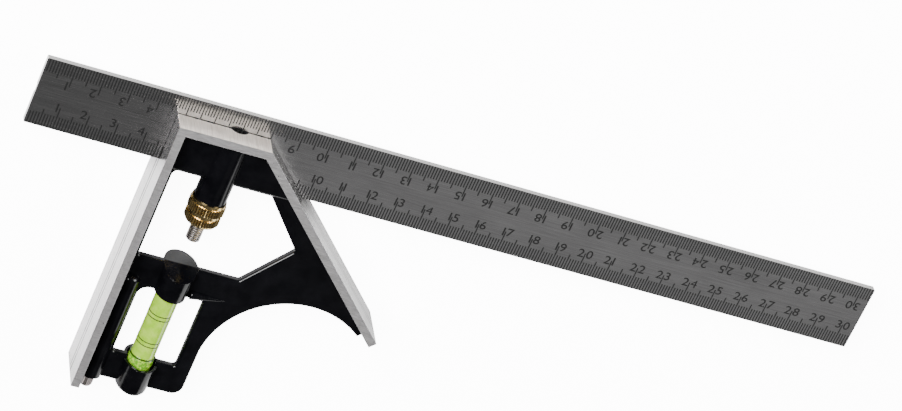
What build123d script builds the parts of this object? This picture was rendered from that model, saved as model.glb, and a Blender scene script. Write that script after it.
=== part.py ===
"""Combination square: a sliding steel rule locked in a cast head with a 90 degree and a 45 degree face.

The square lies flat on the back of its head, as on a bench.
X runs along the rule, Y across it towards the rule's upper edge, and Z up out of the head's front.
The origin is under the middle of the whole square, on the surface that it lies on.
Sizes are in millimetres.
"""

import os
from math import cos, pi, sin, sqrt

from build123d import *

# Rule
blade_length = 304.8
blade_width = 25.4
blade_thick = 2.3
blade_corner = 0.4
groove_width = 3.0
groove_depth = 0.9

# Head: the rim that carries the ground faces
head_width = 20.0
square_offset = 47.3
bridge_length = 32.7
bridge_rise = 18.6
leg_drop = 90.4
miter_drop = 43.0
rim_thick = 3.0

# Head: the channel that holds the rule
slide_gap = 0.05
channel_wall = 1.9
channel_thick = blade_thick + 2 * (slide_gap + channel_wall)
channel_floor = 2.2
channel_round = 2.0

# Head: the web between the legs
web_thick = 3.2
web_round = 0.9
web_end_inset = 1.2
frame_left = 6.2
frame_floor = 37.9
frame_elbow = 42.6
frame_shoulder = 56.7
frame_shoulder_drop = 20.9
frame_strip = 9.0
frame_corner = 2.6
frame_small_corner = 1.0
strut_outer = 39.8
strut_corner = 4.0
arch_spring_rise = 21.0
arch_spring_drop = leg_drop - arch_spring_rise
arch_top = 68.3
arch_top_drop = 40.9
arch_tip = 6.4

# Head: the window around the vial
window_left = 11.2
window_right = 34.0
window_top_drop = 49.7
window_sill = 12.4
window_floor_drop = leg_drop - window_sill
window_corner = 1.2
window_arch = 3.8

# Clamp: boss, bolt, spring and nut on one line across the rule
clamp_x = 21.8
thread_radius = 2.5
thread_pitch = 0.8
thread_depth = 0.45
thread_slope = 0.4
bolt_gap = 0.08
collar_gap = 0.1
nut_gap = 0.06
collar_step = 0.45
bolt_radius = thread_radius + collar_step
bolt_hole_radius = thread_radius + bolt_gap
clamp_bore_radius = bolt_radius + collar_gap
boss_wall = 2.65
boss_radius = clamp_bore_radius + boss_wall
boss_drop = 10.0
shoulder_drop = 7.0
bolt_end_drop = 27.3
collar_top_drop = 1.0
collar_thick = 1.7
lug_height = 2.2
lug_reach = 0.8
lug_gap = 0.05
spring_wire = 0.4
spring_gap = 0.05
spring_turns = 4
nut_radius = 6.5
nut_length = 9.8
nut_flange = 1.3
flange_step = 0.35
nut_band = 3.1
lower_step = 0.25
nut_groove = 1.7
nut_groove_depth = 0.75
nut_bore_radius = thread_radius + nut_gap
nut_dome = 1.3
nut_ridges = 40
ridge_depth = 0.4

# Vial, its bosses and its setting
vial_x = 21.8
vial_radius = 4.25
vial_wall = 0.7
vial_hold = 6.7
vial_top_drop = window_top_drop - vial_hold
vial_end_inset = 4.4
vial_end_drop = leg_drop - vial_end_inset
vial_cap_length = 9.5
cap_bulge = 0.35
vial_fit = 0.25
vial_bore_radius = vial_radius + vial_fit
holder_wall = 1.7
holder_set_back = 1.4
holder_taper_width = 0.5
holder_taper_depth = 1.1
holder_half_width = vial_bore_radius + holder_wall
holder_half_depth = head_width / 2 - holder_set_back
holder_waist_width = holder_half_width - holder_taper_width
holder_waist_depth = holder_half_depth - holder_taper_depth
holder_top_drop = frame_floor
holder_slope = 3.0
holder_bore_depth = 9.0
cup_length = 11.4
cup_rim_drop = leg_drop - cup_length
cup_wall = 0.9
cup_floor = 1.2
cup_round = 1.5
cement_thick = 0.6
ring_width = 0.35
ring_pair_gap = 1.6
ring_rise = 11.8
ring_centre_drop = vial_end_drop - vial_cap_length - ring_rise
ring_half_span = 4.9
ring_thick = 0.04
bubble_length = 8.6
bubble_radius = 1.9
bubble_skin = 0.1
cement_radius = vial_radius - vial_fit

# Scriber in the tube along the 90 degree leg
scriber_x = 6.9
scriber_radius = 1.4
scriber_fit = 0.04
scriber_tip = 7.0
scriber_inset = 3.0
sleeve_wall = 0.66
sleeve_outer = scriber_radius + scriber_fit + sleeve_wall
sleeve_length = 12.0
sleeve_slit = 0.6
sleeve_inset = 0.3
tube_wall = 1.9
tube_radius = sleeve_outer + tube_wall
tube_top_drop = 46.0
tube_end_inset = 0.9
tube_round = 2.0
tube_roof = 5.0
bore_spare = 1.5
tube_length = leg_drop - tube_end_inset - tube_top_drop
scriber_length = tube_length + scriber_inset - bore_spare - tube_roof
knob_wall = 1.0
knob_radius = scriber_radius + knob_wall
knob_length = 5.2
knob_ridges = 24
knob_ridge_depth = 0.15
knob_round = 1.2
knob_collar = 0.6

# Places worked out from the sizes
lowest_drop = leg_drop - tube_end_inset + knob_length
edge_y = (lowest_drop - blade_width) / 2
blade_x = -blade_length / 2
face_x = blade_x + square_offset
mid_z = head_width / 2
bridge_y = edge_y + bridge_rise
leg_y = edge_y - leg_drop
bridge_end_x = face_x + bridge_length
miter_run = bridge_rise + miter_drop
miter_x = bridge_end_x + miter_run
miter_y = edge_y - miter_drop
half = 1 / sqrt(2)
rim_step = rim_thick * half
clamp_line_x = face_x + clamp_x
vial_line_x = face_x + vial_x
scriber_line_x = face_x + scriber_x
web_floor_y = leg_y + web_end_inset
tube_end_y = leg_y + tube_end_inset
past = 2.0


def across(x, y, z=mid_z):
    """A plane square to the Y axis at a height on the square, looking towards +Y."""
    return Plane(origin=(x, y, z), x_dir=(1, 0, 0), z_dir=(0, 1, 0))


def ridge_points(radius, depth, count):
    """Corners of a straight-knurled outline: count ridges of a depth on a round bar."""
    corners = []
    for step in range(2 * count):
        reach = radius - depth * (step % 2)
        turn = pi * step / count
        corners.append((reach * cos(turn), reach * sin(turn)))
    return corners


# Head casting: ground rim, web, channel, clamp boss, vial holders and scriber tube in one piece
with BuildPart() as head_casting:
    # Rim: an L-and-slope band as wide as the head
    inner_corner_x = bridge_end_x - rim_thick * sqrt(2) + rim_thick
    with BuildSketch(Plane.XY) as rim_outline:
        with BuildLine():
            Polyline(
                (face_x, leg_y),
                (face_x, bridge_y),
                (bridge_end_x, bridge_y),
                (miter_x, miter_y),
                (miter_x - rim_step, miter_y - rim_step),
                (inner_corner_x, bridge_y - rim_thick),
                (face_x + rim_thick, bridge_y - rim_thick),
                (face_x + rim_thick, leg_y),
                close=True,
            )
        make_face()
    extrude(amount=head_width)

    # Web: a plate in the middle of the rim
    tip_step = arch_tip * half
    with BuildSketch(Plane.XY.offset(mid_z - web_thick / 2)) as web_outline:
        with BuildLine():
            Polyline(
                (face_x + arch_top, edge_y),
                (face_x + rim_thick / 2, edge_y),
                (face_x + rim_thick / 2, web_floor_y),
                (face_x + strut_outer, web_floor_y),
                (face_x + strut_outer, edge_y - arch_spring_drop),
            )
            ThreePointArc(
                (face_x + strut_outer, edge_y - arch_spring_drop),
                (face_x + arch_top, edge_y - arch_top_drop),
                (miter_x - tip_step, miter_y - tip_step),
            )
            Polyline(
                (miter_x - tip_step, miter_y - tip_step),
                (miter_x - rim_step / 2, miter_y - rim_step / 2),
                (bridge_end_x + bridge_rise - rim_step, edge_y),
                (face_x + arch_top, edge_y),
            )
        make_face()
        foot = web_outline.vertices().group_by(Axis.Y)[0].sort_by(Axis.X)[-1]
        fillet(foot, radius=strut_corner)
    extrude(amount=web_thick)

    # Big frame opening under the channel
    strip_x = bridge_end_x + bridge_rise + channel_floor - frame_strip * sqrt(2)
    with BuildSketch(Plane.XY.offset(mid_z - web_thick)) as frame_opening:
        with BuildLine():
            Polyline(
                (face_x + frame_left, edge_y - channel_floor),
                (face_x + frame_left, edge_y - frame_floor),
                (face_x + frame_elbow, edge_y - frame_floor),
                (face_x + frame_shoulder, edge_y - frame_shoulder_drop),
                (strip_x, edge_y - channel_floor),
                close=True,
            )
        make_face()
        top_corners = frame_opening.vertices().group_by(Axis.Y)[-1]
        other_corners = frame_opening.vertices() - top_corners
        fillet(other_corners, radius=frame_small_corner)
        fillet(frame_opening.vertices().group_by(Axis.Y)[-1].sort_by(Axis.X)[0], radius=frame_corner)
    extrude(amount=2 * web_thick, mode=Mode.SUBTRACT)

    # Window that shows the vial
    window_width = window_right - window_left
    window_height = window_floor_drop - window_top_drop
    window_x = face_x + (window_left + window_right) / 2
    window_y = edge_y - (window_top_drop + window_floor_drop) / 2
    with BuildSketch(Plane.XY.offset(mid_z - web_thick)) as window:
        with Locations((window_x, window_y)):
            Rectangle(window_width, window_height)
        arched = window.vertices().group_by(Axis.Y)[-1].sort_by(Axis.X)[0]
        square = window.vertices() - [arched]
        fillet(square, radius=window_corner)
        fillet(window.vertices().group_by(Axis.X)[0].sort_by(Axis.Y)[-1], radius=window_arch)
    extrude(amount=2 * web_thick, mode=Mode.SUBTRACT)
    web_edges = head_casting.edges().filter_by(
        lambda e: abs(abs(e.center().Z - mid_z) - web_thick / 2) < 1e-4 and abs(e.bounding_box().size.Z) < 1e-4
    )
    open_edges = web_edges.filter_by(
        lambda e: e.center().X > face_x + rim_thick + 0.1
        and e.center().X + e.center().Y < miter_x + miter_y - rim_thick * sqrt(2) - 0.1
        and abs(e.center().Y - edge_y) > 0.1
    )
    fillet(open_edges, radius=web_round)

    # Channel: a block with rounded lower edges that the rule lies in
    channel_right = bridge_end_x - rim_step
    with BuildSketch(Plane.XY.offset(mid_z - channel_thick / 2)):
        with BuildLine():
            Polyline(
                (face_x + rim_thick / 2, bridge_y - rim_thick / 2),
                (face_x + rim_thick / 2, edge_y - channel_floor),
                (channel_right + bridge_rise + channel_floor, edge_y - channel_floor),
                (channel_right + rim_thick / 2, bridge_y - rim_thick / 2),
                close=True,
            )
        make_face()
    extrude(amount=channel_thick)
    floor_edges = head_casting.edges().filter_by(Axis.X).filter_by(
        lambda e: abs(e.center().Y - edge_y + channel_floor) < 1e-4
        and abs(abs(e.center().Z - mid_z) - channel_thick / 2) < 1e-4
    )
    fillet(floor_edges, radius=channel_round)

    # Clamp boss from the bridge down past the channel
    with BuildSketch(across(clamp_line_x, edge_y - boss_drop)):
        Circle(boss_radius)
    extrude(amount=boss_drop + bridge_rise - rim_thick / 2)

    # Upper vial holder, an oval block that narrows towards the window
    with BuildSketch(across(vial_line_x, edge_y - holder_top_drop)):
        Ellipse(holder_half_width, holder_half_depth)
    with BuildSketch(across(vial_line_x, edge_y - window_top_drop)):
        Ellipse(holder_waist_width, holder_waist_depth)
    loft()

    # The holder's top slopes down to the front from the parting line
    slope_top = edge_y - holder_top_drop
    with BuildSketch(Plane.YZ.offset(vial_line_x - holder_half_width)):
        with BuildLine():
            Polyline(
                (slope_top, mid_z),
                (slope_top, mid_z + holder_half_depth),
                (slope_top - holder_slope, mid_z + holder_half_depth),
                close=True,
            )
        make_face()
    extrude(amount=2 * holder_half_width, mode=Mode.SUBTRACT)

    # Lower vial cup, an oval cup with a rounded end
    with BuildSketch(across(vial_line_x, edge_y - cup_rim_drop)):
        Ellipse(holder_half_width, holder_half_depth)
    with BuildSketch(across(vial_line_x, leg_y)):
        Ellipse(holder_waist_width, holder_waist_depth)
    loft()
    cup_end = head_casting.faces().filter_by(Axis.Y).filter_by(
        lambda f: abs(f.center().Y - leg_y) < 1e-3 and abs(f.center().X - vial_line_x) < 1e-3
    )
    fillet(cup_end.edges(), radius=cup_round)

    # Scriber tube along the 90 degree leg
    with BuildSketch(across(scriber_line_x, tube_end_y)):
        Circle(tube_radius)
    extrude(amount=tube_length)
    tube_top = head_casting.edges().filter_by(GeomType.CIRCLE).filter_by(
        lambda e: abs(e.center().Y - edge_y + tube_top_drop) < 1e-3
    )
    fillet(tube_top, radius=tube_round)

    # Slot for the rule, open along the bridge and through both legs
    slot_thick = blade_thick + 2 * slide_gap
    slot_height = bridge_rise + slide_gap + past
    slot_length = bridge_length + miter_run + 2 * past
    with Locations((face_x - past, edge_y - slide_gap, mid_z)):
        Box(slot_length, slot_height, slot_thick, align=(Align.MIN, Align.MIN, Align.CENTER), mode=Mode.SUBTRACT)

    # Clamp bore with a shoulder for the spring, and the bolt hole under it
    with BuildSketch(across(clamp_line_x, edge_y - shoulder_drop)):
        Circle(clamp_bore_radius)
    extrude(amount=shoulder_drop + bridge_rise + past, mode=Mode.SUBTRACT)
    with BuildSketch(across(clamp_line_x, edge_y - boss_drop - past)):
        Circle(bolt_hole_radius)
    extrude(amount=boss_drop - shoulder_drop + 2 * past, mode=Mode.SUBTRACT)

    # Blind bore in the upper holder and the hollow of the cup
    with BuildSketch(across(vial_line_x, edge_y - window_top_drop - past)):
        Circle(vial_bore_radius)
    extrude(amount=holder_bore_depth + past, mode=Mode.SUBTRACT)
    with BuildSketch(across(vial_line_x, leg_y + cup_floor)):
        Ellipse(holder_waist_width - cup_wall, holder_waist_depth - cup_wall)
    with BuildSketch(across(vial_line_x, edge_y - cup_rim_drop + past)):
        Ellipse(holder_half_width - cup_wall, holder_half_depth - cup_wall)
    loft(mode=Mode.SUBTRACT)

    # Scriber bore, and the wider seat of its friction sleeve
    scriber_bore_depth = scriber_length - scriber_inset + bore_spare
    with BuildSketch(across(scriber_line_x, tube_end_y - past)):
        Circle(scriber_radius + scriber_fit + slide_gap)
    extrude(amount=scriber_bore_depth + past, mode=Mode.SUBTRACT)
    with BuildSketch(across(scriber_line_x, tube_end_y - past)):
        Circle(sleeve_outer)
    extrude(amount=sleeve_length + past, mode=Mode.SUBTRACT)
head_casting.part.label = "head_casting"

# Rule: a ground steel strip with a clamping groove down the middle of its back
with BuildPart() as rule_blade:
    with BuildSketch(Plane.XY.offset(mid_z - blade_thick / 2)) as blade_outline:
        with Locations((blade_x + blade_length / 2, edge_y + blade_width / 2)):
            Rectangle(blade_length, blade_width)
        fillet(blade_outline.vertices(), radius=blade_corner)
    extrude(amount=blade_thick)
    groove_y = edge_y + blade_width / 2
    with Locations((blade_x + blade_length / 2, groove_y, mid_z - blade_thick / 2)):
        Box(blade_length + past, groove_width, 2 * groove_depth, mode=Mode.SUBTRACT)
rule_blade.part.label = "rule_blade"

# Lock bolt: a half-round head beside the rule with a lug in its groove, a collar and a threaded shank
groove_floor_y = edge_y + (blade_width - groove_width) / 2
lug_y = groove_floor_y + lug_gap
collar_y = edge_y - collar_top_drop
head_length = lug_y + lug_height - collar_y
back_face_z = mid_z - blade_thick / 2
with BuildPart() as lock_bolt:
    with BuildSketch(across(clamp_line_x, collar_y)):
        Circle(bolt_radius)
    extrude(amount=head_length)
    with Locations((clamp_line_x, collar_y, back_face_z - slide_gap)):
        Box(
            2 * bolt_radius + past,
            head_length + past,
            head_width,
            align=(Align.CENTER, Align.MIN, Align.MIN),
            mode=Mode.SUBTRACT,
        )
    with Locations((clamp_line_x, lug_y, back_face_z - slide_gap)):
        Box(
            bolt_radius,
            lug_height,
            lug_reach + slide_gap,
            align=(Align.CENTER, Align.MIN, Align.MIN),
        )
    with BuildSketch(across(clamp_line_x, collar_y - collar_thick)):
        Circle(bolt_radius)
    extrude(amount=collar_thick)
    # Shank, with the thread cut as rings one pitch apart
    core_radius = thread_radius - thread_depth
    shank_y = edge_y - bolt_end_drop
    shank_length = bolt_end_drop - collar_top_drop - collar_thick
    thread_length = bolt_end_drop - boss_drop + thread_pitch
    with BuildSketch(across(clamp_line_x, shank_y)):
        Circle(thread_radius)
    extrude(amount=shank_length)
    end_edge = lock_bolt.edges().group_by(Axis.Y)[0]
    chamfer(end_edge, length=thread_depth)
    thread_count = int((thread_length - thread_pitch) / thread_pitch)
    with BuildSketch(Plane.XY.offset(mid_z)):
        for turn in range(thread_count):
            crest_y = shank_y + thread_pitch * (turn + 1)
            with BuildLine():
                Polyline(
                    (clamp_line_x + thread_radius + thread_depth, crest_y - thread_pitch / 2),
                    (clamp_line_x + thread_radius, crest_y - thread_slope * thread_pitch),
                    (clamp_line_x + core_radius, crest_y),
                    (clamp_line_x + thread_radius, crest_y + thread_slope * thread_pitch),
                    (clamp_line_x + thread_radius + thread_depth, crest_y + thread_pitch / 2),
                    close=True,
                )
            make_face()
    clamp_axis = Axis((clamp_line_x, 0, mid_z), (0, 1, 0))
    revolve(axis=clamp_axis, revolution_arc=360, mode=Mode.SUBTRACT)
lock_bolt.part.label = "lock_bolt"

# Lock spring: a coil between the bore's shoulder and the bolt's collar
spring_foot_y = edge_y - shoulder_drop + spring_gap
spring_top_y = collar_y - collar_thick - spring_gap
spring_height = spring_top_y - spring_foot_y - spring_wire
spring_radius = (thread_radius + clamp_bore_radius) / 2
with BuildPart() as lock_spring:
    with BuildLine() as coil:
        Helix(
            pitch=spring_height / spring_turns,
            height=spring_height,
            radius=spring_radius,
            center=(clamp_line_x, spring_foot_y + spring_wire / 2, mid_z),
            direction=(0, 1, 0),
        )
    with BuildSketch(Plane(origin=coil.line @ 0, z_dir=coil.line % 0)):
        Circle(spring_wire / 2)
    sweep()
lock_spring.part.label = "lock_spring"

# Lock nut: turned brass with a plain flange, two ridged bands, a groove between them and a domed end
nut_top_y = edge_y - boss_drop
nut_end_y = nut_top_y - nut_length
upper_band_y = nut_top_y - nut_flange - nut_band
lower_band_y = nut_end_y + nut_dome
lower_band = upper_band_y - nut_groove - lower_band_y
core_reach = nut_radius - nut_groove_depth
lower_radius = nut_radius - lower_step
flange_radius = nut_radius - flange_step
dome_radius = lower_radius - ridge_depth
with BuildPart() as lock_nut:
    for band_y, band_length, band_radius in (
        (upper_band_y, nut_band, nut_radius),
        (lower_band_y, lower_band, lower_radius),
    ):
        with BuildSketch(across(clamp_line_x, band_y)):
            with BuildLine():
                Polyline(*ridge_points(band_radius, ridge_depth, nut_ridges), close=True)
            make_face()
        extrude(amount=band_length)
    with BuildSketch(Plane.XY.offset(mid_z)):
        with BuildLine():
            Polyline(
                (clamp_line_x, nut_end_y),
                (clamp_line_x, nut_top_y),
                (clamp_line_x + flange_radius, nut_top_y),
                (clamp_line_x + flange_radius, nut_top_y - nut_flange),
                (clamp_line_x + core_reach, nut_top_y - nut_flange),
                (clamp_line_x + core_reach, lower_band_y),
                (clamp_line_x + dome_radius, lower_band_y),
            )
            RadiusArc(
                (clamp_line_x + dome_radius, lower_band_y),
                (clamp_line_x + dome_radius - nut_dome, nut_end_y),
                nut_dome,
            )
            Line((clamp_line_x + dome_radius - nut_dome, nut_end_y), (clamp_line_x, nut_end_y))
        make_face()
    revolve(axis=clamp_axis, revolution_arc=360)
    with BuildSketch(across(clamp_line_x, nut_end_y - past)):
        Circle(nut_bore_radius)
    extrude(amount=nut_length + 2 * past, mode=Mode.SUBTRACT)
lock_nut.part.label = "lock_nut"

# Vial: an acrylic tube closed at the top, its liquid with an air bubble, and a domed cap at the bottom
vial_top_y = edge_y - vial_top_drop
vial_end_y = edge_y - vial_end_drop
cap_y = vial_end_y + vial_cap_length
vial_axis = Axis((vial_line_x, 0, mid_z), (0, 1, 0))
with BuildPart() as vial_tube:
    with BuildSketch(across(vial_line_x, cap_y)):
        Circle(vial_radius)
    extrude(amount=vial_top_y - cap_y)
    fillet(vial_tube.edges().group_by(Axis.Y)[-1], radius=vial_wall)
    with BuildSketch(across(vial_line_x, cap_y)):
        Circle(vial_radius - vial_wall)
    extrude(amount=vial_top_y - vial_wall - cap_y, mode=Mode.SUBTRACT)
vial_tube.part.label = "vial_tube"

ring_centre_y = edge_y - ring_centre_drop
with BuildPart() as vial_fluid:
    with BuildSketch(across(vial_line_x, cap_y)):
        Circle(vial_radius - vial_wall)
    extrude(amount=vial_top_y - vial_wall - cap_y)
    bubble_z = mid_z + vial_radius - vial_wall - bubble_radius - bubble_skin
    with BuildSketch(Plane.XY.offset(bubble_z)):
        with BuildLine():
            EllipticalCenterArc(
                (vial_line_x, ring_centre_y), bubble_radius, bubble_length / 2, start_angle=-90, arc_size=180
            )
            Line((vial_line_x, ring_centre_y - bubble_length / 2), (vial_line_x, ring_centre_y + bubble_length / 2))
        make_face()
    revolve(axis=Axis((vial_line_x, 0, bubble_z), (0, 1, 0)), revolution_arc=360, mode=Mode.SUBTRACT)
vial_fluid.part.label = "vial_fluid"

with BuildPart() as vial_cap:
    cap_radius = vial_radius + cap_bulge
    with BuildSketch(Plane.XY.offset(mid_z)):
        with BuildLine():
            Polyline(
                (vial_line_x, vial_end_y),
                (vial_line_x, cap_y),
                (vial_line_x + cap_radius, cap_y),
                (vial_line_x + cap_radius, vial_end_y + cap_radius),
            )
            RadiusArc((vial_line_x + cap_radius, vial_end_y + cap_radius), (vial_line_x, vial_end_y), cap_radius)
        make_face()
    revolve(axis=vial_axis, revolution_arc=360)
vial_cap.part.label = "vial_cap"

with BuildPart() as vial_rings:
    for side in (-1, 1):
        for step in (0, ring_pair_gap):
            line_y = ring_centre_y + side * (ring_half_span + step) - ring_width / 2
            with BuildSketch(across(vial_line_x, line_y)):
                Circle(vial_radius + ring_thick)
                Circle(vial_radius, mode=Mode.SUBTRACT)
            extrude(amount=ring_width)
vial_rings.part.label = "vial_rings"

# Cement: a disc over the vial's closed top and a bed under its cap
with BuildPart() as vial_cement:
    with BuildSketch(across(vial_line_x, vial_top_y)):
        Circle(vial_radius - vial_wall)
    extrude(amount=edge_y - window_top_drop + holder_bore_depth - vial_top_y)
    with BuildSketch(across(vial_line_x, leg_y + cup_floor)):
        Circle(cement_radius)
    extrude(amount=vial_end_y + cement_thick - leg_y - cup_floor)
    with BuildSketch(Plane.XY.offset(mid_z)):
        with BuildLine():
            Line((vial_line_x, vial_end_y), (vial_line_x, cap_y))
            Line((vial_line_x, cap_y), (vial_line_x + cap_radius, cap_y))
            Line((vial_line_x + cap_radius, cap_y), (vial_line_x + cap_radius, vial_end_y + cap_radius))
            RadiusArc((vial_line_x + cap_radius, vial_end_y + cap_radius), (vial_line_x, vial_end_y), cap_radius)
        make_face()
    revolve(axis=vial_axis, revolution_arc=360, mode=Mode.SUBTRACT)
vial_cement.part.label = "vial_cement"

# Scriber: a hardened point pressed into a knurled knob, held in the tube by a split sleeve
knob_y = tube_end_y - knob_length
with BuildPart() as scriber_point:
    with BuildSketch(Plane.XY.offset(mid_z)):
        with BuildLine():
            Polyline(
                (scriber_line_x, tube_end_y - scriber_inset),
                (scriber_line_x + scriber_radius, tube_end_y - scriber_inset),
                (scriber_line_x + scriber_radius, tube_end_y - scriber_inset + scriber_length - scriber_tip),
                (scriber_line_x, tube_end_y - scriber_inset + scriber_length),
                close=True,
            )
        make_face()
    scriber_axis = Axis((scriber_line_x, 0, mid_z), (0, 1, 0))
    revolve(axis=scriber_axis, revolution_arc=360)
scriber_point.part.label = "scriber_point"

with BuildPart() as scriber_knob:
    with BuildSketch(across(scriber_line_x, knob_y)):
        Circle(knob_radius - knob_ridge_depth)
    extrude(amount=knob_length)
    fillet(scriber_knob.edges().group_by(Axis.Y)[0], radius=knob_round)
    with BuildSketch(across(scriber_line_x, knob_y + knob_round)):
        with BuildLine():
            Polyline(*ridge_points(knob_radius, knob_ridge_depth, knob_ridges), close=True)
        make_face()
    extrude(amount=knob_length - knob_round - knob_collar)
    with BuildSketch(across(scriber_line_x, tube_end_y - scriber_inset)):
        Circle(scriber_radius)
    extrude(amount=scriber_inset, mode=Mode.SUBTRACT)
scriber_knob.part.label = "scriber_knob"

with BuildPart() as scriber_sleeve:
    with BuildSketch(across(scriber_line_x, tube_end_y + sleeve_inset)):
        Circle(sleeve_outer)
        Circle(scriber_radius + scriber_fit, mode=Mode.SUBTRACT)
    extrude(amount=sleeve_length - sleeve_inset)
    with Locations((scriber_line_x, tube_end_y, mid_z)):
        Box(
            sleeve_slit,
            sleeve_length,
            sleeve_outer + past,
            align=(Align.CENTER, Align.MIN, Align.MIN),
            mode=Mode.SUBTRACT,
        )
scriber_sleeve.part.label = "scriber_sleeve"

pieces = (
    head_casting,
    rule_blade,
    lock_bolt,
    lock_spring,
    lock_nut,
    vial_tube,
    vial_fluid,
    vial_cap,
    vial_rings,
    vial_cement,
    scriber_point,
    scriber_knob,
    scriber_sleeve,
)
os.makedirs("parts", exist_ok=True)
for piece in pieces:
    export_step(piece.part, f"parts/{piece.part.label}.step")
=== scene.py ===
"""Looks of a combination square: a graduated steel rule in a cast head with a lock, a vial and a scriber.

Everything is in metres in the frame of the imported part.
X runs along the rule, Y across it, and Z up out of the head's front.
"""

from math import pi, radians

import bpy
from mathutils import Euler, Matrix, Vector


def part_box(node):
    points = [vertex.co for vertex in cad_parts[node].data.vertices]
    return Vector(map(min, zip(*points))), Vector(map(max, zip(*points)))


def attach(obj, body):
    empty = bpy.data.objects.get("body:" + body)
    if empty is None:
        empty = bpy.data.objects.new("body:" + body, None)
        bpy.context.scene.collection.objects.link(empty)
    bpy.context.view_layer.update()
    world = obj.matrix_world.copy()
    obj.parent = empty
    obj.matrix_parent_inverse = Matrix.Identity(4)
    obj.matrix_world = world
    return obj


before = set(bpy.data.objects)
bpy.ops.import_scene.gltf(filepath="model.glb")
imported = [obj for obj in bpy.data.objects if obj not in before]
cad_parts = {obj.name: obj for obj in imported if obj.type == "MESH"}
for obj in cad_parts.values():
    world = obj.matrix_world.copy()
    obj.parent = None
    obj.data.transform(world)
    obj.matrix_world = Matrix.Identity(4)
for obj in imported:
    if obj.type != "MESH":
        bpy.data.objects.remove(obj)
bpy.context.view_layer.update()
MM = 0.001

# ---- Head casting ----------------------------------------------------------------------------
# One grey iron casting. It is dipped in black gloss enamel, and then the rim's outer faces and
# edges are ground bright. The enamel stays on the web, the channel and the bosses.


COAT_ROUGHNESS = 0.06


def start_finish(name, metallic=0.0, roughness=0.5, coat=0.0):
    """A new finish: its node tree, its shader and the piece's own coordinates."""
    finish = bpy.data.materials.new(name)
    finish.use_nodes = True
    tree = finish.node_tree
    shader = tree.nodes["Principled BSDF"]
    shader.inputs["Metallic"].default_value = metallic
    shader.inputs["Roughness"].default_value = roughness
    shader.inputs["Coat Weight"].default_value = coat
    shader.inputs["Coat Roughness"].default_value = COAT_ROUGHNESS
    place = tree.nodes.new("ShaderNodeTexCoord").outputs["Object"]
    return finish, tree, shader, place


def feed(tree, socket, value):
    """Puts a number, a colour or another node's output into a socket."""
    if isinstance(value, bpy.types.NodeSocket):
        tree.links.new(value, socket)
    else:
        socket.default_value = value


def sum_up(tree, operation, first, second=0.0):
    """One step of arithmetic in a finish."""
    node = tree.nodes.new("ShaderNodeMath")
    node.operation = operation
    feed(tree, node.inputs[0], first)
    feed(tree, node.inputs[1], second)
    return node.outputs[0]


def split_up(tree, place):
    """The X, Y and Z of a piece's coordinates."""
    node = tree.nodes.new("ShaderNodeSeparateXYZ")
    feed(tree, node.inputs[0], place)
    return node.outputs


def turned(tree, place, turn=(0, 0, 0), stretch=(1, 1, 1)):
    """The coordinates turned and stretched, so that a grain runs the way that a tool went."""
    node = tree.nodes.new("ShaderNodeMapping")
    feed(tree, node.inputs["Vector"], place)
    node.inputs["Rotation"].default_value = turn
    node.inputs["Scale"].default_value = stretch
    return node.outputs[0]


def grain(tree, place, scale, detail=4.0, rough=0.6):
    """Uneven grain, from 0 to 1."""
    node = tree.nodes.new("ShaderNodeTexNoise")
    feed(tree, node.inputs["Vector"], place)
    node.inputs["Scale"].default_value = scale
    node.inputs["Detail"].default_value = detail
    node.inputs["Roughness"].default_value = rough
    return node.outputs["Fac"]


def spread(tree, value, low, high, to_low=0.0, to_high=1.0):
    """Stretches a value's range to another."""
    node = tree.nodes.new("ShaderNodeMapRange")
    feed(tree, node.inputs["Value"], value)
    node.inputs["From Min"].default_value = low
    node.inputs["From Max"].default_value = high
    feed(tree, node.inputs["To Min"], to_low)
    feed(tree, node.inputs["To Max"], to_high)
    return node.outputs[0]


def blend_colours(tree, factor, first, second):
    """One colour at factor 0 and the other at 1."""
    node = tree.nodes.new("ShaderNodeMix")
    node.data_type = "RGBA"
    feed(tree, node.inputs["Factor"], factor)
    feed(tree, node.inputs[6], first)
    feed(tree, node.inputs[7], second)
    return node.outputs[2]


def bumps(tree, shader, height, depth, strength=1.0, under=None):
    """Raises the surface by a height, in metres."""
    node = tree.nodes.new("ShaderNodeBump")
    feed(tree, node.inputs["Height"], height)
    node.inputs["Distance"].default_value = depth
    feed(tree, node.inputs["Strength"], strength)
    if under is not None:
        feed(tree, node.inputs["Normal"], under)
    feed(tree, shader.inputs["Normal"], node.outputs[0])


def soft_edges(tree, radius):
    """Slightly broken edges, as a stone or a tumbler leaves them."""
    node = tree.nodes.new("ShaderNodeBevel")
    node.samples = 4
    node.inputs["Radius"].default_value = radius
    return node.outputs[0]


def cover(node_name, finish):
    """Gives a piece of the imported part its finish."""
    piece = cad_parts[node_name]
    piece.data.materials.clear()
    piece.data.materials.append(finish)


head_low, head_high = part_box("head_casting")
ground_depth = 0.07 * MM
enamel_black = (0.0010, 0.0010, 0.0014, 1)
enamel_bloom = (0.0026, 0.0026, 0.0033, 1)
ground_iron = (0.88, 0.86, 0.86, 1)
ground_iron_dull = (0.62, 0.605, 0.61, 1)
bridge_iron_lit = (1.0, 0.93, 0.85, 1)
bridge_iron_lit_dull = (0.74, 0.66, 0.59, 1)
slope_iron_shade = (0.30, 0.295, 0.29, 1)
slope_iron_shade_light = (0.50, 0.49, 0.485, 1)
dark_seam = (0.012, 0.011, 0.011, 1)
enamel_shine = 0.22

bridge_length = 32.7 * MM
ragged_depth = 0.06 * MM
ragged_scale = 900

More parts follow.
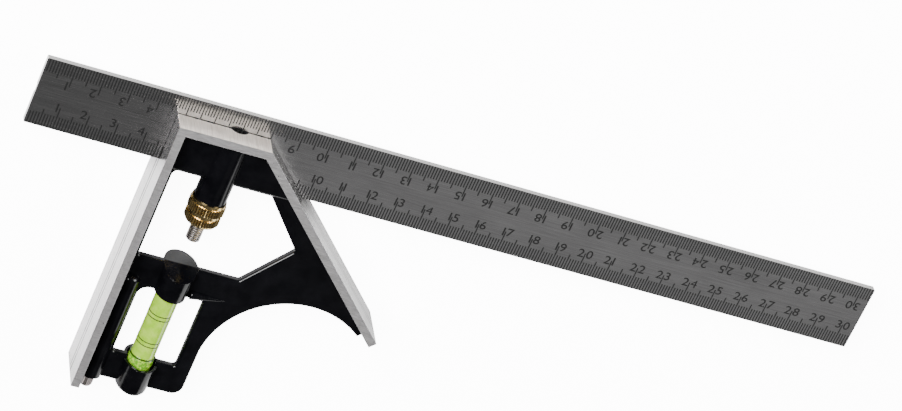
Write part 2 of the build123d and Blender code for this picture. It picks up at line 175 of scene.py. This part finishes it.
finish, tree, shader, place = start_finish("enamelled_casting")
shader.inputs["Specular IOR Level"].default_value = enamel_shine
at_x, at_y, at_z = split_up(tree, place)
from_left = sum_up(tree, "SUBTRACT", at_x, head_low.x)
from_bridge = sum_up(tree, "SUBTRACT", head_high.y, at_y)
slope_sum = head_low.x + bridge_length + head_high.y
from_slope = sum_up(tree, "SUBTRACT", slope_sum, sum_up(tree, "ADD", at_x, at_y))
from_outer = sum_up(tree, "MINIMUM", from_left, from_slope)
from_face = sum_up(tree, "MINIMUM", sum_up(tree, "MINIMUM", from_left, from_bridge), from_slope)
from_front = sum_up(tree, "MINIMUM", sum_up(tree, "SUBTRACT", head_high.z, at_z), at_z)
nearest = sum_up(tree, "MINIMUM", from_face, from_front)
ragged = sum_up(tree, "SUBTRACT", grain(tree, place, ragged_scale, 2.0), 0.5)
ragged = sum_up(tree, "MULTIPLY", ragged, ragged_depth)
is_ground = sum_up(tree, "LESS_THAN", sum_up(tree, "ADD", nearest, ragged), ground_depth)
is_bridge = sum_up(tree, "LESS_THAN", from_bridge, ground_depth)
is_slope = sum_up(tree, "LESS_THAN", from_slope, ground_depth)
is_outer = sum_up(tree, "LESS_THAN", from_outer, ground_depth)

# Marks of the grinding wheel: fine lines across the bridge and slanting along the rims
across_turn = (0, radians(4), 0)
across_stretch = (4600, 260, 90)
slant_turn = (0, radians(20), radians(-35))
slant_stretch = (350, 4200, 500)
patch_scale = 160
pit_scale = 620
pit_share = 0.79
pit_black = (0.03, 0.028, 0.028, 1)

lines_across = grain(tree, turned(tree, place, across_turn, across_stretch), 1.0, 4.0, 0.75)
lines_slant = grain(tree, turned(tree, place, slant_turn, slant_stretch), 1.0, 3.0, 0.7)
lines = blend_colours(tree, is_bridge, lines_slant, lines_across)
patches = grain(tree, place, patch_scale, 3.0)
iron = blend_colours(tree, spread(tree, lines, 0.3, 0.7), ground_iron_dull, ground_iron)
# Painted light: the bridge face gets a brighter, warmer copy of the ground iron, still streaked by the
# wheel's lines.
bridge_lines = spread(tree, lines_across, 0.38, 0.60)
painted_bridge_light = blend_colours(tree, bridge_lines, bridge_iron_lit_dull, bridge_iron_lit)
iron = blend_colours(tree, is_bridge, iron, painted_bridge_light)
# Painted shade: the slope face gets a darker copy of the ground iron.
painted_slope_shade = blend_colours(tree, lines_slant, slope_iron_shade, slope_iron_shade_light)
iron = blend_colours(tree, is_slope, iron, painted_slope_shade)
enamel = blend_colours(tree, spread(tree, patches, 0.35, 0.75), enamel_black, enamel_bloom)
is_pit = sum_up(tree, "GREATER_THAN", grain(tree, place, pit_scale, 1.0), pit_share)
iron = blend_colours(tree, is_pit, iron, pit_black)

# Painted shade: the rule's slot shows on the outer faces as a dark seam, the shade of its gap painted on the
# iron, with a few blotches along it
seam_at = 1.2 * MM
seam_half = 0.34 * MM
seam_scale = 420
mid_height = (head_low.z + head_high.z) / 2
off_middle = sum_up(tree, "ABSOLUTE", sum_up(tree, "SUBTRACT", at_z, mid_height))
from_seam = sum_up(tree, "ABSOLUTE", sum_up(tree, "SUBTRACT", off_middle, seam_at))
seam_blots = grain(tree, place, seam_scale, 3.0)
seam_width = spread(tree, seam_blots, 0.50, 0.75, seam_half, 2.0 * seam_half)
is_painted_gap_shade = sum_up(tree, "LESS_THAN", from_seam, seam_width)
on_faces = sum_up(tree, "MAXIMUM", is_bridge, is_outer)
iron = blend_colours(tree, sum_up(tree, "MULTIPLY", is_painted_gap_shade, on_faces), iron, dark_seam)

# The mouth of the bolt's bore has a broken edge with enamel in it
bolt_low, bolt_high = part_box("lock_bolt")
mouth_radius = 3.45 * MM
mouth_x = sum_up(tree, "SUBTRACT", at_x, (bolt_low.x + bolt_high.x) / 2)
mouth_x_square = sum_up(tree, "MULTIPLY", mouth_x, mouth_x)
mouth_z_square = sum_up(tree, "MULTIPLY", off_middle, off_middle)
mouth_squares = sum_up(tree, "ADD", mouth_x_square, mouth_z_square)
is_mouth = sum_up(tree, "LESS_THAN", mouth_squares, mouth_radius * mouth_radius)
iron = blend_colours(tree, sum_up(tree, "MULTIPLY", is_mouth, is_bridge), iron, dark_seam)
feed(tree, shader.inputs["Base Color"], blend_colours(tree, is_ground, enamel, iron))
feed(tree, shader.inputs["Metallic"], is_ground)
rim_roughness = spread(tree, lines, 0.2, 0.8, 0.36, 0.52)
outer_roughness = spread(tree, lines, 0.2, 0.8, 0.20, 0.28)
iron_roughness = spread(tree, is_outer, 0, 1, rim_roughness, outer_roughness)
enamel_roughness = spread(tree, patches, 0.3, 0.8, 0.10, 0.22)
roughness = spread(tree, is_ground, 0, 1, enamel_roughness, iron_roughness)
feed(tree, shader.inputs["Roughness"], roughness)

flow_scale = 240
surface_depth = 0.05 * MM
enamel_flow = 0.75
iron_flow = 0.10
edge_radius = 0.18 * MM
height = blend_colours(tree, is_ground, grain(tree, place, flow_scale, 3.0), lines)
flow_strength = spread(tree, is_ground, 0, 1, enamel_flow, iron_flow)
bumps(tree, shader, height, surface_depth, flow_strength, soft_edges(tree, edge_radius))
cover("head_casting", finish)

# The casting has a low leaf-shaped rib on each side of the web, right of the vial's upper boss.
# Each starts as a thin block. Its rows are lowered to a rounded crest, and its columns are drawn
# in and lowered towards a point. The rib for the back is a copy, turned over.
leaf_start = (-76.6 * MM, -13.2 * MM)
leaf_length = 12.6 * MM
leaf_width = 3.6 * MM
leaf_rise = 1.7 * MM
leaf_sink = 0.3 * MM
leaf_columns = 18
leaf_rows = 8
crest_round = 0.6
draw_in = 0.7
draw_down = 0.8
web_half = 1.6 * MM
leaf_turn = radians(3.6)


def resize_chosen(piece, chosen, factors):
    """Resizes the vertices that a test picks, in edit mode, about the piece's own origin."""
    bpy.ops.object.mode_set(mode="EDIT")
    bpy.ops.mesh.select_all(action="DESELECT")
    bpy.ops.object.mode_set(mode="OBJECT")
    for vertex in piece.data.vertices:
        vertex.select = chosen(vertex.co)
    bpy.ops.object.mode_set(mode="EDIT")
    bpy.ops.transform.resize(value=factors, center_override=(0, 0, 0))
    bpy.ops.object.mode_set(mode="OBJECT")


bpy.ops.object.select_all(action="DESELECT")
bpy.ops.mesh.primitive_grid_add(
    x_subdivisions=leaf_columns, y_subdivisions=leaf_rows, size=1.0, location=(leaf_length / 2, 0, -leaf_sink)
)
front_leaf = bpy.context.object
front_leaf.scale = (leaf_length, leaf_width, 1)
bpy.ops.object.transform_apply(location=True, rotation=True, scale=True)
bpy.ops.object.mode_set(mode="EDIT")
bpy.ops.mesh.select_all(action="SELECT")
leaf_thick = leaf_rise + leaf_sink
bpy.ops.mesh.extrude_region_move(TRANSFORM_OT_translate={"value": (0, 0, leaf_thick)})
bpy.ops.mesh.select_all(action="SELECT")
bpy.ops.mesh.normals_make_consistent(inside=False)
bpy.ops.object.mode_set(mode="OBJECT")

nearly = 0.01 * MM
for row in range(leaf_rows + 1):
    across = 2 * row / leaf_rows - 1
    row_y = across * leaf_width / 2
    crest = (1 - across * across) ** crest_round
    resize_chosen(front_leaf, lambda spot: abs(spot.y - row_y) < nearly and spot.z > -nearly, (1, 1, crest))
for column in range(leaf_columns + 1):
    column_x = leaf_length * column / leaf_columns
    left_over = 1 - column / leaf_columns
    narrow = left_over**draw_in
    low = left_over**draw_down
    resize_chosen(front_leaf, lambda spot: abs(spot.x - column_x) < nearly, (1, narrow, 1))
    resize_chosen(front_leaf, lambda spot: abs(spot.x - column_x) < nearly and spot.z > -nearly, (1, 1, low))

back_leaf = front_leaf.copy()
back_leaf.data = front_leaf.data.copy()
bpy.context.scene.collection.objects.link(back_leaf)
for leaf, side, turn_over in ((front_leaf, 1, 0), (back_leaf, -1, pi)):
    bpy.ops.object.select_all(action="DESELECT")
    leaf.select_set(True)
    bpy.context.view_layer.objects.active = leaf
    leaf.rotation_euler = (turn_over, 0, leaf_turn)
    leaf.location = (leaf_start[0], leaf_start[1], mid_height + side * web_half)
    bpy.ops.object.transform_apply(location=True, rotation=True, scale=True)
    bpy.ops.object.mode_set(mode="EDIT")
    bpy.ops.mesh.select_all(action="SELECT")
    bpy.ops.mesh.remove_doubles(threshold=nearly / 2)
    bpy.ops.mesh.normals_make_consistent(inside=False)
    bpy.ops.object.mode_set(mode="OBJECT")
    bpy.ops.object.shade_smooth()
bpy.ops.object.select_all(action="DESELECT")
front_leaf.select_set(True)
back_leaf.select_set(True)
bpy.context.view_layer.objects.active = front_leaf
bpy.ops.object.join()
leaf_ribs = bpy.context.object
leaf_ribs.name = "web_leaf_ribs"
leaf_ribs.data.materials.clear()
leaf_ribs.data.materials.append(finish)
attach(leaf_ribs, "head")

# ---- Rule ------------------------------------------------------------------------------------
# A strip of hardened steel, ground and polished lengthwise, with etched black graduations on its front.
# A groove down the middle of its back takes the lug of the lock bolt.
rule_low, rule_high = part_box("rule_blade")
steel_dark = (0.62, 0.61, 0.615, 1)
steel_light = (0.92, 0.91, 0.91, 1)
shaded_edge_steel = (0.30, 0.295, 0.29, 1)

stroke_stretch = (45, 4200, 4200)
stain_stretch = (40, 130, 130)
stain_share = 0.6
edge_depth = 0.06 * MM
stroke_depth = 0.01 * MM
rule_edge_radius = 0.12 * MM

finish, tree, shader, place = start_finish("polished_rule", metallic=1.0)
at_y = split_up(tree, place)[1]
strokes = grain(tree, turned(tree, place, stretch=stroke_stretch), 1.0, 4.0, 0.75)
stains = grain(tree, turned(tree, place, stretch=stain_stretch), 1.0, 4.0, 0.6)
marks = sum_up(tree, "ADD", strokes, sum_up(tree, "MULTIPLY", stains, stain_share))
face_colour = blend_colours(tree, spread(tree, marks, 0.55, 1.05), steel_dark, steel_light)
# Painted shade: the narrow top and bottom edge faces get a darker copy of the polished steel.
from_top = sum_up(tree, "SUBTRACT", rule_high.y, at_y)
from_bottom = sum_up(tree, "SUBTRACT", at_y, rule_low.y)
is_shaded_edge = sum_up(tree, "LESS_THAN", sum_up(tree, "MINIMUM", from_top, from_bottom), edge_depth)
feed(tree, shader.inputs["Base Color"], blend_colours(tree, is_shaded_edge, face_colour, shaded_edge_steel))
feed(tree, shader.inputs["Roughness"], spread(tree, strokes, 0.2, 0.8, 0.13, 0.24))
bumps(tree, shader, strokes, stroke_depth, 0.35, soft_edges(tree, rule_edge_radius))
cover("rule_blade", finish)

# Graduations: for each edge one line of each length is modelled and repeated along it
line_width = 0.42 * MM
line_rise = 0.01 * MM
zero_x = rule_low.x


def etched_lines(name, edge, length, first, steps):
    """Lines square to one edge of the rule. Each step is a count and a pitch."""
    bpy.ops.object.select_all(action="DESELECT")
    middle = rule_low.y + length / 2 if edge == "lower" else rule_high.y - length / 2
    bpy.ops.mesh.primitive_plane_add(size=1.0, location=(zero_x + first, middle, rule_high.z))
    lines = bpy.context.object
    lines.name = name
    lines.scale = (line_width, length, 1)
    bpy.ops.object.transform_apply(location=True, rotation=True, scale=True)
    bpy.ops.object.mode_set(mode="EDIT")
    bpy.ops.mesh.select_all(action="SELECT")
    bpy.ops.mesh.extrude_region_move(TRANSFORM_OT_translate={"value": (0, 0, line_rise)})
    bpy.ops.mesh.select_all(action="SELECT")
    bpy.ops.mesh.normals_make_consistent(inside=False)
    bpy.ops.object.mode_set(mode="OBJECT")
    for count, pitch in steps:
        row = lines.modifiers.new("row", "ARRAY")
        row.count = count
        row.use_relative_offset = False
        row.use_constant_offset = True
        row.constant_offset_displace = (pitch, 0, 0)
        bpy.ops.object.modifier_apply(modifier="row")
    return lines


def make_one(name, pieces):
    """Joins pieces into the first of them."""
    bpy.ops.object.select_all(action="DESELECT")
    for piece in pieces:
        piece.select_set(True)
    bpy.context.view_layer.objects.active = pieces[0]
    bpy.ops.object.transform_apply(location=True, rotation=True, scale=True)
    bpy.ops.object.join()
    pieces[0].name = name
    return pieces[0]


millimetre = 1 * MM
centimetre = 10 * MM
centimetre_count = 30
short_line = 4.9 * MM
middle_line = 6.5 * MM
long_line = 8.5 * MM
short_steps = ((4, millimetre), (61, 5 * millimetre))
ten_steps = ((centimetre_count, centimetre),)
sets = []
for edge in ("lower", "upper"):
    sets.append(etched_lines("millimetres", edge, short_line, millimetre, short_steps))
    sets.append(etched_lines("fives", edge, middle_line, 5 * millimetre, ten_steps))
    sets.append(etched_lines("centimetres", edge, long_line, centimetre, ten_steps))
graduations = make_one("rule_graduations", sets)

# Numbers: each figure is modelled once as a thin mesh, and copied beside or astride its centimetre line
figure_size = 4.6 * MM
figure_widening = 1.12
figure_swell = 0.03 * MM
figure_smoothness = 3
figure_merge = 0.001 * MM
figure_from_edge = 6.75 * MM
figure_gap = 0.42 * MM
lone_gap = 0.75 * MM
figures = {}
for sign in "0123456789":
    bpy.ops.object.select_all(action="DESELECT")
    bpy.ops.object.text_add(location=(0, 0, 0))
    figure = bpy.context.object
    figure.data.body = sign
    figure.data.size = figure_size
    figure.data.extrude = line_rise / 2
    # The 4 keeps its plain outline, because swelling it closes its triangle
    figure.data.offset = 0 if sign == "4" else figure_swell
    figure.data.resolution_u = figure_smoothness
    bpy.ops.object.convert(target="MESH")
    figure = bpy.context.object
    bpy.ops.object.mode_set(mode="EDIT")
    bpy.ops.mesh.select_all(action="SELECT")
    bpy.ops.mesh.remove_doubles(threshold=figure_merge)
    bpy.ops.mesh.normals_make_consistent(inside=False)
    bpy.ops.object.mode_set(mode="OBJECT")
    corner_x = min(v.co.x for v in figure.data.vertices)
    corner_y = min(v.co.y for v in figure.data.vertices)
    figure.location = (-corner_x * figure_widening, -corner_y, 0)
    figure.scale = (figure_widening, 1, 1)
    bpy.ops.object.transform_apply(location=True, rotation=True, scale=True)
    figures[sign] = figure

copies = []
for number in range(1, centimetre_count + 1):
    line_x = zero_x + number * centimetre
    signs = str(number)
    for edge in ("lower", "upper"):
        for side, sign in enumerate(signs if edge == "lower" else signs[::-1]):
            width = figures[sign].dimensions[0]
            gap = figure_gap if len(signs) == 2 else lone_gap
            left = line_x + figure_gap if side else line_x - gap - width
            copy = figures[sign].copy()
            copy.data = figures[sign].data.copy()
            bpy.context.scene.collection.objects.link(copy)
            lift = rule_high.z + line_rise / 2
            if edge == "lower":
                copy.location = (left, rule_low.y + figure_from_edge, lift)
            else:
                copy.location = (left + width, rule_high.y - figure_from_edge, lift)
                copy.rotation_euler = (0, 0, pi)
            copies.append(copy)
numbers = make_one("rule_numbers", copies)
for figure in figures.values():
    bpy.data.objects.remove(figure)

etched_black = (0.001, 0.001, 0.0012, 1)
etched_grey = (0.004, 0.004, 0.004, 1)
finish, tree, shader, place = start_finish("etched_marks", roughness=0.45)
worn_stretch = (400, 1500, 1500)
worn_off = grain(tree, turned(tree, place, stretch=worn_stretch), 1.0, 3.0, 0.6)
feed(tree, shader.inputs["Base Color"], blend_colours(tree, worn_off, etched_black, etched_grey))
for etching in (graduations, numbers):
    etching.data.materials.clear()
    etching.data.materials.append(finish)
    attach(etching, "rule")

# ---- Lock bolt, lock spring and scriber point ------------------------------------------------
# The bolt and the scriber's point are turned from bright steel rod, and the spring is coiled
# wire. The bolt drops in through the bridge with the spring under its collar.
bright_steel = (0.72, 0.68, 0.65, 1)
grey_steel = (0.42, 0.40, 0.39, 1)
steel_ring_stretch = (500, 6000, 500)
steel_ring_depth = 0.01 * MM
finish, tree, shader, place = start_finish("turned_steel", metallic=1.0)
rings = grain(tree, turned(tree, place, stretch=steel_ring_stretch), 1.0, 3.0, 0.6)
feed(tree, shader.inputs["Base Color"], blend_colours(tree, rings, grey_steel, bright_steel))
feed(tree, shader.inputs["Roughness"], spread(tree, rings, 0.2, 0.8, 0.18, 0.34))
bumps(tree, shader, rings, steel_ring_depth, 0.4)
for name in ("lock_bolt", "lock_spring", "scriber_point"):
    cover(name, finish)

# ---- Lock nut and scriber bush ---------------------------------------------------------------
# The nut is turned from brass bar and straight-knurled in two bands with a plain groove between
# them. It threads on the bolt below the boss. The scriber's split bush is brass too.
gold_brass = (0.95, 0.73, 0.34, 1)
deep_brass = (0.72, 0.50, 0.19, 1)
knurl_valley_shade = (0.30, 0.19, 0.06, 1)
nut_low, nut_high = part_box("lock_nut")
nut_flange = 1.3 * MM
nut_band = 3.1 * MM
nut_groove = 1.7 * MM
nut_dome = 1.3 * MM
ridge_depth = 0.4 * MM
lower_step = 0.25 * MM
brass_ring_stretch = (400, 5000, 400)
brass_ring_depth = 0.02 * MM
dull_scale = 500
bush_dull_scale = 700

finish, tree, shader, place = start_finish("turned_brass", metallic=1.0)
at_x, at_y, at_z = split_up(tree, place)
off_x = sum_up(tree, "SUBTRACT", at_x, (nut_low.x + nut_high.x) / 2)
off_z = sum_up(tree, "SUBTRACT", at_z, (nut_low.z + nut_high.z) / 2)
off_x_square = sum_up(tree, "MULTIPLY", off_x, off_x)
off_z_square = sum_up(tree, "MULTIPLY", off_z, off_z)
radius = sum_up(tree, "POWER", sum_up(tree, "ADD", off_x_square, off_z_square), 0.5)
below_top = sum_up(tree, "SUBTRACT", nut_high.y, at_y)
band_end = nut_flange + nut_band
lower_start = band_end + nut_groove
lower_end = nut_high.y - nut_low.y - nut_dome
past_flange = sum_up(tree, "GREATER_THAN", below_top, nut_flange)
in_upper = sum_up(tree, "MULTIPLY", past_flange, sum_up(tree, "LESS_THAN", below_top, band_end))
past_groove = sum_up(tree, "GREATER_THAN", below_top, lower_start)
in_lower = sum_up(tree, "MULTIPLY", past_groove, sum_up(tree, "LESS_THAN", below_top, lower_end))
in_bands = sum_up(tree, "MAXIMUM", in_upper, in_lower)
outer_reach = (nut_high.x - nut_low.x) / 2
band_reach = sum_up(tree, "SUBTRACT", outer_reach, sum_up(tree, "MULTIPLY", in_lower, lower_step))
# Painted shade: the knurl's valleys darken with their depth below the crest.
from_crest = sum_up(tree, "SUBTRACT", band_reach, radius)
depth_share = spread(tree, from_crest, 0.3 * ridge_depth, 0.95 * ridge_depth)
painted_valley_shade = sum_up(tree, "MULTIPLY", in_bands, depth_share)
rings = grain(tree, turned(tree, place, stretch=brass_ring_stretch), 1.0, 3.0, 0.6)
dull = grain(tree, place, dull_scale, 3.0)
brass = blend_colours(tree, spread(tree, dull, 0.40, 0.75), gold_brass, deep_brass)
feed(tree, shader.inputs["Base Color"], blend_colours(tree, painted_valley_shade, brass, knurl_valley_shade))
feed(tree, shader.inputs["Roughness"], spread(tree, rings, 0.2, 0.8, 0.14, 0.28))
bumps(tree, shader, rings, brass_ring_depth, 0.4)
cover("lock_nut", finish)

finish, tree, shader, place = start_finish("bush_brass", metallic=1.0)
dull = grain(tree, place, bush_dull_scale, 3.0)
feed(tree, shader.inputs["Base Color"], blend_colours(tree, dull, gold_brass, deep_brass))
feed(tree, shader.inputs["Roughness"], spread(tree, dull, 0.2, 0.8, 0.20, 0.35))
cover("scriber_sleeve", finish)

# ---- Vial ------------------------------------------------------------------------------------
# A clear acrylic tube filled with lime green spirit and closed by a domed cap. Four black rings
# are printed round it, and it is cemented into its two bosses.
lime = (0.27, 0.52, 0.012, 1)
lime_pale = (0.42, 0.64, 0.07, 1)
cap_green = (0.10, 0.30, 0.01, 1)
cap_glint = (0.42, 0.66, 0.06, 1)
joint_green = (0.02, 0.06, 0.004, 1)
clear_share = 0.3
cloud_scale = 300
glint_scale = 750
joint_length = 0.5 * MM
ring_black = (0.004, 0.004, 0.004, 1)
ring_grey = (0.012, 0.012, 0.012, 1)
ring_scale = 2000
cement_dark = (0.75, 0.72, 0.66, 1)
cement_light = (0.85, 0.83, 0.78, 1)
cement_scale = 900

finish, tree, shader, place = start_finish("lime_spirit", roughness=0.08, coat=0.6)
shader.inputs["Transmission Weight"].default_value = clear_share
cloud = spread(tree, grain(tree, place, cloud_scale, 3.0), 0.35, 0.7)
feed(tree, shader.inputs["Base Color"], blend_colours(tree, cloud, lime, lime_pale))
cover("vial_tube", finish)
cover("vial_fluid", finish)

cap_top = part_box("vial_cap")[1].y
finish, tree, shader, place = start_finish("cap_acrylic", roughness=0.12, coat=0.5)
shader.inputs["Transmission Weight"].default_value = clear_share
# Painted glints: light flecks over the cap's deep green stand in for light sparkling through the cap.
painted_glints = spread(tree, grain(tree, place, glint_scale, 3.0, 0.7), 0.45, 0.62)
cap_colour = blend_colours(tree, painted_glints, cap_green, cap_glint)
from_joint = sum_up(tree, "SUBTRACT", cap_top, split_up(tree, place)[1])
is_joint = sum_up(tree, "LESS_THAN", from_joint, joint_length)
feed(tree, shader.inputs["Base Color"], blend_colours(tree, is_joint, cap_colour, joint_green))
cover("vial_cap", finish)
finish, tree, shader, place = start_finish("printed_black", roughness=0.4)
ring_grain = grain(tree, place, ring_scale)
feed(tree, shader.inputs["Base Color"], blend_colours(tree, ring_grain, ring_black, ring_grey))
cover("vial_rings", finish)
finish, tree, shader, place = start_finish("set_cement", roughness=0.7)
cement_grain = grain(tree, place, cement_scale)
feed(tree, shader.inputs["Base Color"], blend_colours(tree, cement_grain, cement_dark, cement_light))
cover("vial_cement", finish)

# ---- Scriber knob ----------------------------------------------------------------------------
# A knurled steel knob, pressed on the end of the scriber's point. It stands out below the tube
# in the head, so that the scriber can be drawn.
knob_dark = (0.40, 0.35, 0.34, 1)
knob_light = (0.66, 0.60, 0.58, 1)
knob_scale = 1500

finish, tree, shader, place = start_finish("knurled_steel", metallic=1.0)
knurl_grain = grain(tree, place, knob_scale)
feed(tree, shader.inputs["Base Color"], blend_colours(tree, knurl_grain, knob_dark, knob_light))
feed(tree, shader.inputs["Roughness"], spread(tree, knurl_grain, 0.2, 0.8, 0.25, 0.4))
cover("scriber_knob", finish)

# ---- Floor, lights and camera ----------------------------------------------------------------
# A pale studio floor that shows plain white, a large soft lamp from the left, weaker ones from the
# right and above, and a low card that edges the round pieces. The camera is high on the left.
floor_size = 6.0
floor_drop = 0.2 * MM
floor_grey = (0.78, 0.78, 0.78, 1)
floor_light = (0.80, 0.80, 0.80, 1)
floor_scale = 3
floor_glow = 11.0
sky_strength = 0.068
bpy.ops.object.select_all(action="DESELECT")
bpy.ops.mesh.primitive_plane_add(size=floor_size, location=(0, 0, -floor_drop))
floor = bpy.context.object
floor.name = "floor"
finish, tree, shader, place = start_finish("pale_floor", roughness=0.9)
floor_grain = grain(tree, place, floor_scale)
feed(tree, shader.inputs["Base Color"], blend_colours(tree, floor_grain, floor_grey, floor_light))
seen = tree.nodes.new("ShaderNodeLightPath").outputs["Is Camera Ray"]
shader.inputs["Emission Color"].default_value = (1, 1, 1, 1)
feed(tree, shader.inputs["Emission Strength"], sum_up(tree, "MULTIPLY", seen, floor_glow))
floor.data.materials.append(finish)

sky = bpy.data.worlds.new("studio")
bpy.context.scene.world = sky
sky.use_nodes = True
background = sky.node_tree.nodes["Background"]
background.inputs["Color"].default_value = (1, 1, 1, 1)
background.inputs["Strength"].default_value = sky_strength


def lamp(name, spot, aim, size, power):
    """A soft box that points at a spot."""
    box = bpy.data.lights.new(name, "AREA")
    box.shape = "RECTANGLE"
    box.size, box.size_y = size
    box.energy = power
    holder = bpy.data.objects.new(name, box)
    bpy.context.scene.collection.objects.link(holder)
    holder.location = spot
    sight = Vector(aim) - Vector(spot)
    holder.rotation_euler = sight.to_track_quat("-Z", "Y").to_euler()


lamp("key", (-0.9, 0.7, 1.1), (-0.05, 0, 0), (0.8, 0.8), 90)
lamp("side", (0.9, 0.5, 0.7), (-0.05, 0, 0), (0.6, 0.6), 22)
lamp("ceiling", (0.9, -0.78, 1.5), (0.9, -0.78, 0), (1.1, 1.1), 0.42)
lamp("low_card", (0.75, -1.0, 0.2), (-0.07, 0, 0.01), (1.6, 0.4), 6)

bpy.ops.object.camera_add(location=(-0.378173, 0.614212, 1.023978))
camera = bpy.context.object
camera_turn = (radians(-33.1368), radians(-7.2865), radians(22.3878))
camera.rotation_euler = Euler(camera_turn, "XYZ")
camera.data.sensor_width = 36.0
camera.data.lens = 143.583
camera.data.clip_start = 0.01
camera.data.clip_end = 50
bpy.context.scene.camera = camera
